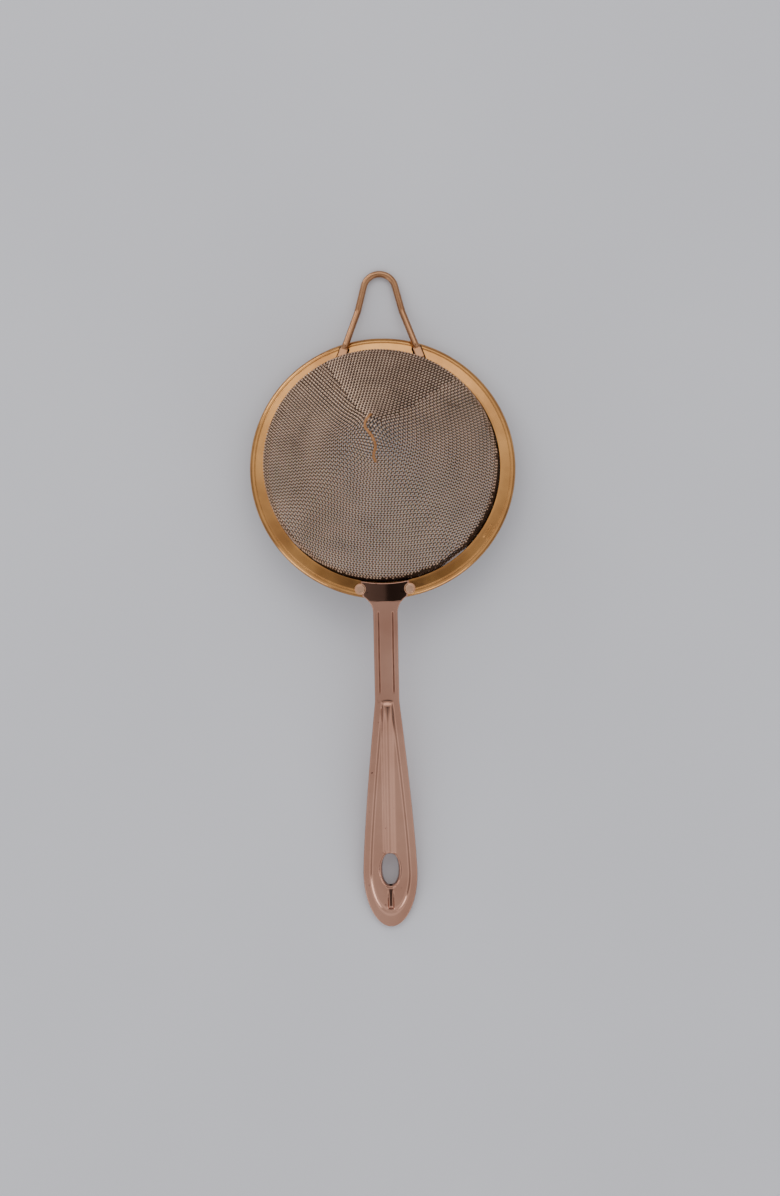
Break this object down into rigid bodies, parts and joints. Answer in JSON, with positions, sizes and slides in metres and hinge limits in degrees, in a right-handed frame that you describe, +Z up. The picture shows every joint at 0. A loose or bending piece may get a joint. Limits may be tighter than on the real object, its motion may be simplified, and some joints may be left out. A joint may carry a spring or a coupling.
{
  "type": "cocktail strainer",
  "caption": "Conical fine-mesh bar strainer with a flanged rim, a stamped handle with an oval hanging hole, and a wire rest loop.",
  "frame": {"origin": "centre of the bounding box on the surface that the strainer rests on, open side down", "axes": "+Z up, +Y from the handle towards the rest loop, X across"},
  "size_m": [0.089, 0.2216, 0.0574],
  "materials": {
    "rim": "copper plated stainless steel, satin",
    "clamp_ring": "copper plated stainless steel, satin",
    "mesh": "copper plated woven wire",
    "handle": "rose copper plated stainless steel, polished",
    "weld": "plated weld metal, ground",
    "loop": "copper plated wire"
  },
  "bodies": {
    "root": {"rim_ring": "rim", "mesh_clamp_ring": "clamp_ring", "mesh_cone": "mesh", "handle": "handle", "handle_welds": "weld", "rest_loop": "loop"}
  },
  "joints": []
}
